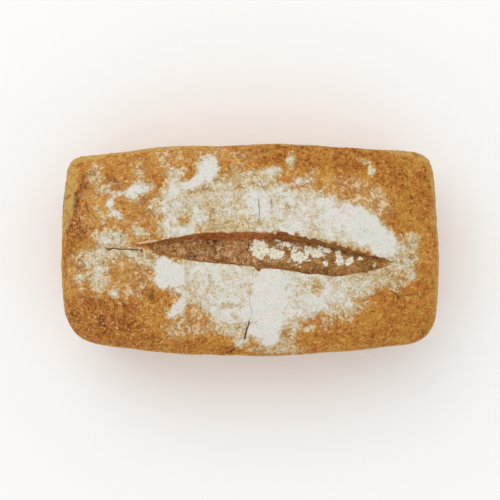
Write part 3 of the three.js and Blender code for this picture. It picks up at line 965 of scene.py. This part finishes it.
def make_grains(material, points, normals, flour):
    """Makes loose grains of flour, most of them where the coat frays."""
    draw = np.random.default_rng(GRAINS[-1])
    likely = np.clip(flour - 0.12, 0, 1) * (1.15 - flour) * (normals[:, 2] > 0.5)
    chosen = draw.choice(len(points), GRAINS[0], replace=False, p=likely / likely.sum())
    places = points[chosen] + GRAIN_LIFT * normals[chosen]
    make_heap("flour_grains", places, draw, *GRAINS, 2, material)


# ---------------------------------------------------------------- materials

# Colours of 0 to 255, as a screen shows them. A ramp has a colour at each of some shades.
CRUST_RAMP = (
    (0, (216, 176, 104)), (0.25, (205, 150, 74)), (0.5, (184, 123, 49)),
    (0.75, (158, 94, 37)), (1, (104, 55, 22)),
)
CRUMB_RAMP = (
    (0, (230, 192, 148)), (0.35, (192, 146, 98)), (0.6, (162, 113, 67)), (1, (96, 58, 28)),
)
GOLDEN_RAMP = ((0, (200, 150, 88)), (0.5, (162, 113, 60)), (1, (110, 74, 38)))
TORN_RAMP = ((0.1, (208, 134, 74)), (0.5, (150, 88, 46)), (1, (84, 48, 24)))
RED_CRUST = (176, 98, 46)
YELLOW_CRUST = (192, 144, 60)
PAINTED_HIGHLIGHT_FLECK = (228, 182, 128)
PALE_CRUST = (199, 164, 94)
RED_TEAR = (167, 92, 51)
# painted shade inside the cracks
CRACK_SHADE_COLOUR = (96, 54, 27)
# raw crust at the west tail, and a painted highlight on the north lip
PALE_EDGE_AND_HIGHLIGHT = (232, 208, 176)
DUST = (227, 199, 148)
DUSTY_CRUST = (186, 161, 110)  # the crust between the clumps of flour
THIN_FLOUR = (223, 209, 174)
THICK_FLOUR = ((222, 222, 212), (227, 221, 215))
FRINGE_LUMP = (234, 208, 174)
# dark spots of painted shade among the lumps where the flour frays
FRINGE_PAINTED_SHADE = (146, 112, 58)
SPECK_SHADE = (214, 206, 186)  # what the little gaps in the flour are darkened by
CREAM_FLOUR = (214, 190, 152)
LUMP_FLOUR = ((226, 218, 192), (242, 238, 220))
FLOOR_COLOURS = ((253, 253, 252), (254, 254, 253))

VEIL = 0.88  # the share of thin dust that lies evenly, between the clumps


def linear(colour):
    """A screen's colour of 0 to 255 as the linear colour that a shader takes."""
    shares = np.array(colour) / 255
    curve = ((shares + 0.055) / 1.055) ** 2.4
    return (*np.where(shares <= 0.04045, shares / 12.92, curve), 1)


class Shader:
    """A material's node tree, with a short method for each kind of node used here."""

    def __init__(self, name):
        self.material = bpy.data.materials.new(name)
        self.material.use_nodes = True
        self.tree = self.material.node_tree
        self.tree.nodes.clear()
        self.place = self.node("ShaderNodeTexCoord").outputs["Object"]

    def node(self, kind, inputs=None, **settings):
        """A new node. Its inputs take sockets to join to, numbers, or screen colours."""
        made = self.tree.nodes.new(kind)
        for key, value in settings.items():
            setattr(made, key, value)
        for key, value in (inputs or {}).items():
            if isinstance(value, bpy.types.NodeSocket):
                self.tree.links.new(value, made.inputs[key])
            else:
                made.inputs[key].default_value = linear(value) if isinstance(value, tuple) else value
        return made

    def number(self, name):
        return self.node("ShaderNodeAttribute", attribute_name=name).outputs["Fac"]

    def noise(self, size, detail=2.0, roughness=0.5, distortion=0.0):
        """Waves of a size in mm."""
        made = self.node("ShaderNodeTexNoise", {
            "Vector": self.place, "Scale": 1 / (size * MM), "Detail": detail,
            "Roughness": roughness, "Distortion": distortion,
        })
        return made.outputs["Fac"]

    def math(self, operation, *values, clamp=False):
        inputs = dict(enumerate(values))
        return self.node("ShaderNodeMath", inputs, operation=operation, use_clamp=clamp).outputs[0]

    def plus(self, base, value, amount=1):
        """A base with an amount of a value added to it."""
        return self.math("MULTIPLY_ADD", value, amount, base)

    def varied(self, base, wave, amount):
        """A base that wanders up and down with a wave."""
        return self.plus(base, self.math("SUBTRACT", wave, 0.5), amount)

    def rest(self, share):
        return self.math("SUBTRACT", 1, share)

    def times(self, *values):
        product = values[0]
        for value in values[1:]:
            product = self.math("MULTIPLY", product, value)
        return product

    def step(self, value, low, high):
        """0 below low and 1 above high, or the other way where low is the greater."""
        inputs = {"Value": value, "From Min": low, "From Max": high}
        made = self.node("ShaderNodeMapRange", inputs, interpolation_type="SMOOTHSTEP")
        return made.outputs["Result"]

    def mix(self, share, first, second, blend="MIX"):
        inputs = {"Factor": share, 6: first, 7: second}
        return self.node("ShaderNodeMix", inputs, data_type="RGBA", blend_type=blend).outputs[2]

    def tinted(self, colour, tint, *shares):
        """A colour with a tint laid over it, by the product of the shares."""
        return self.mix(self.times(*shares), colour, tint)

    def ramp(self, value, colours):
        made = self.node("ShaderNodeValToRGB", {"Fac": value})
        stops = made.color_ramp.elements
        while len(stops) < len(colours):
            stops.new(0.5)
        for stop, (position, colour) in zip(stops, colours):
            stop.position = position
            stop.color = linear(colour)
        return made.outputs["Color"]

    def finish(self, colour, roughness, specular, height, depth):
        """Joins colour, roughness and a bump of a height in mm to the surface."""
        bump = self.node("ShaderNodeBump", {"Strength": 1, "Distance": depth * MM, "Height": height})
        surface = self.node("ShaderNodeBsdfPrincipled", {
            "Base Color": colour, "Roughness": roughness, "Specular IOR Level": specular,
            "Normal": bump.outputs["Normal"],
        })
        self.node("ShaderNodeOutputMaterial", {"Surface": surface.outputs["BSDF"]})
        return self.material


def flour_coat(s, flour):
    """How much of the surface the flour hides at each spot: an even veil of dust, and over it
    little clumps, which are few where the flour is scarce and close where it is thick."""
    dust = s.times(flour, s.plus(0.6, flour, 0.4))
    veil = s.varied(VEIL, s.noise(3.2), 1)
    veil = s.math("MULTIPLY", dust, veil, clamp=True)
    grain = s.plus(s.times(s.noise(1.9, 2, 0.6), 0.58), s.noise(3, 1), 0.42)
    rank = s.step(grain, 0.36, 0.64)
    closeness = s.rest(s.math("DIVIDE", s.rest(flour), s.plus(1, dust, -VEIL)))
    clumps = s.step(s.math("SUBTRACT", closeness, rank), -0.16, 0.16)
    clumps = s.times(clumps, s.step(flour, 0.03, 0.2))
    return s.rest(s.times(s.rest(veil), s.rest(clumps), s.step(flour, 1.05, 0.82)))


def floured(s, colour, flour, coat):
    """The colour under the flour's coat, which is yellower the thinner it is."""
    thick = s.mix(s.step(s.noise(7), 0.4, 0.6), *THICK_FLOUR)
    powder = s.mix(s.step(flour, 0.1, 0.6), DUST, THIN_FLOUR)
    powder = s.mix(s.step(flour, 0.5, 1), powder, thick)
    colour = s.tinted(colour, DUSTY_CRUST, s.step(flour, 0.15, 0.8), 0.85)
    colour = s.mix(coat, colour, powder)

    # Lumps where the coat frays, with dark spots of painted shade among them, and little gaps in all
    # of it
    fringe = s.times(s.step(flour, 0.02, 0.25), s.step(flour, 0.85, 0.5))
    lumpy = s.noise(3.1, 2, 0.5, 0.9)
    colour = s.tinted(colour, FRINGE_LUMP, s.step(lumpy, 0.55, 0.63), fringe, 0.75)
    colour = s.tinted(colour, FRINGE_PAINTED_SHADE, s.step(lumpy, 0.44, 0.36), fringe, 0.5)
    gaps = s.step(s.noise(1.3), 0.5, 0.36)
    gaps = s.times(gaps, s.step(flour, 1.22, 0.6), s.step(flour, 0.1, 0.5))
    return s.mix(gaps, colour, SPECK_SHADE, "MULTIPLY")


def bare_shade(s, fine, mottle):
    """How dark the bare crust is, which wanders more finely on the crown than on the walls."""
    wall = s.number("wall")
    grain = s.varied(s.varied(0, mottle, 1.25), fine, 0.8)
    shade = s.plus(s.number("bake"), grain, s.plus(1, wall, -0.5))
    shade = s.varied(shade, s.noise(12), 0.55)
    shade = s.plus(shade, s.varied(0, s.noise(40), 0.6), wall)
    veins = s.math("ABSOLUTE", s.varied(0, s.noise(4, 2, 0.5, 0.8), 1))
    shade = s.plus(shade, s.step(veins, 0.05, 0), -0.3)
    return s.plus(shade, s.step(s.noise(1.5, 1), 0.66, 0.76), 0.3)


def crust_material():
    s = Shader("baked_crust")
    flour, crack_half = s.number("flour"), s.number("crack_half")
    fine, mottle, hue = s.noise(1.2, 3, 0.6), s.noise(2.8, 3, 0.6, 0.6), s.noise(9, 3, 0.5, 0.5)
    shade = bare_shade(s, fine, mottle)
    # Pale flecks on the crust are painted highlights
    highlight_flecks = s.step(s.noise(1.7, 1, 0.5, 1.6), 0.62, 0.7)
    colour = s.ramp(shade, CRUST_RAMP)
    colour = s.tinted(colour, RED_CRUST, s.step(hue, 0.52, 0.7), 0.38)
    colour = s.tinted(colour, YELLOW_CRUST, s.step(hue, 0.48, 0.3), 0.45)
    colour = s.tinted(colour, PAINTED_HIGHLIGHT_FLECK, highlight_flecks, s.number("highlight_flecks"))
    colour = s.tinted(colour, PALE_CRUST, s.number("rim"), s.step(mottle, 0.8, 0.35), 0.9)

    # The slope up to the north lip is torn dough
    tear = s.tinted(s.ramp(shade, TORN_RAMP), RED_TEAR, s.step(hue, 0.48, 0.62), 0.5)
    tear = s.tinted(tear, s.ramp(shade, GOLDEN_RAMP), s.number("golden"), 0.8)
    colour = s.tinted(colour, tear, s.number("torn"))

    coat = flour_coat(s, flour)
    colour = floured(s, colour, flour, coat)

    # Cracks are painted dark inside as shade, through the flour too, and ridges are pale: raw crust,
    # and on the north lip a painted highlight
    inside = s.math("SUBTRACT", crack_half, s.math("ABSOLUTE", s.number("crack_side")))
    strength = s.plus(0.3, s.step(crack_half, 0.1, 0.5), 0.6)
    colour = s.tinted(colour, CRACK_SHADE_COLOUR, s.step(inside, -0.12, 0.22), strength)
    ridge = s.step(s.number("ridge"), 0.2, 0.6)
    colour = s.tinted(colour, PALE_EDGE_AND_HIGHLIGHT, ridge, s.step(mottle, 0.3, 0.5))

    height = s.plus(s.plus(mottle, fine, 0.6), coat, 0.7)
    return s.finish(colour, s.plus(0.7, coat, 0.22), 0.12, height, 0.35)


def crumb_material():
    s = Shader("torn_crumb")
    fine, bits, flour = s.noise(0.9, 3, 0.65), s.noise(2.5, 3, 0.6, 0.7), s.number("flour")
    shade = s.varied(s.varied(0.54, bits, 2.1), fine, 1.2)
    shade = s.varied(shade, s.noise(9), 0.8)
    # Painted shade darkens the crumb between the lumps of flour
    shade = s.plus(shade, s.step(flour, 0.3, 0.7), 0.25)
    golden = s.ramp(shade, GOLDEN_RAMP)
    colour = s.tinted(s.ramp(shade, CRUMB_RAMP), golden, s.number("golden"), 0.85)

    # Cream crumbs, and lumps of flour, ragged and crisp
    colour = s.tinted(colour, CREAM_FLOUR, s.step(s.noise(1.3, 1, 0.5, 1), 0.62, 0.7), 0.7)
    ragged = s.varied(s.varied(flour, bits, 3), fine, 2)
    floury = s.step(flour, 0.02, 0.25)
    colour = s.tinted(colour, CREAM_FLOUR, s.step(ragged, 0.3, 0.7), floury)
    colour = s.tinted(colour, LUMP_FLOUR[1], s.step(ragged, 0.6, 0.9), floury)
    return s.finish(colour, 0.9, 0.12, s.plus(bits, fine, 0.7), 0.6)


def matt_material(name, colours, wave, roughness, depth):
    """A matt surface whose colour and bumps follow one wave, with a size and a detail."""
    s = Shader(name)
    tone = s.noise(*wave)
    return s.finish(s.mix(tone, *colours), roughness, 0.1, tone, depth)


# ---------------------------------------------------------------- stage

VIEW_WIDTH = 304.2  # mm that the photograph's frame covers, at the widest line's level
LENS = 100
SENSOR = 36
FLOOR_REACH = 6000  # from the loaf to the floor's edges
FLOOR_GAP = 0.2
KEY_DIRECTION = Vector((-0.5, 0.9, 1.5))
KEY_DISTANCE, KEY_SIZE = 3, 2.5  # in metres
KEY_POWER = 22
STUDIO_LIGHT = 0.82


def make_floor():
    x, y, z = FLOOR_REACH * MM, FLOOR_REACH * MM, (CAD_LOW[2] - FLOOR_GAP) * MM
    mesh = bpy.data.meshes.new("floor")
    mesh.from_pydata([(-x, -y, z), (x, -y, z), (x, y, z), (-x, y, z)], [], [(0, 1, 2, 3)])
    mesh.materials.append(matt_material("pale_floor", FLOOR_COLOURS, (300, 1), 0.9, 0.01))
    link(mesh, "floor")


def make_camera():
    """Looks straight down, with the loaf's north side up."""
    data = bpy.data.cameras.new("camera")
    data.lens = LENS
    data.sensor_width = SENSOR
    camera = link(data, "camera")
    camera.location = (0, 0, (WIDEST + VIEW_WIDTH * LENS / SENSOR) * MM)
    bpy.context.scene.camera = camera


def make_key_light():
    """A square soft light that faces the loaf."""
    data = bpy.data.lights.new("key", "AREA")
    data.shape = "SQUARE"
    data.size = KEY_SIZE
    data.energy = KEY_POWER
    light = link(data, "key")
    light.location = KEY_DIRECTION.normalized() * KEY_DISTANCE
    light.rotation_euler = KEY_DIRECTION.to_track_quat("Z", "Y").to_euler()


def make_stage():
    make_floor()
    make_camera()
    make_key_light()
    world = bpy.data.worlds.new("studio")
    world.use_nodes = True
    background = world.node_tree.nodes["Background"]
    background.inputs["Color"].default_value = (1, 1, 1, 1)
    background.inputs["Strength"].default_value = STUDIO_LIGHT
    bpy.context.scene.world = world
    bpy.context.scene.view_settings.view_transform = "Standard"


make_stage()
fit, crown, crown_normals, crown_flour = make_crust(crust_material())
crumb, crumb_flour = make_crumb(crumb_material(), fit)
lump_flour = matt_material("lumpy_flour", LUMP_FLOUR, (1.5, 2), 0.95, 0.2)
loose_flour = matt_material("loose_flour", (DUST, THIN_FLOUR), (1.5, 2), 0.95, 0.2)
make_clumps(lump_flour, crumb, crumb_flour)
make_grains(loose_flour, crown, crown_normals, crown_flour)
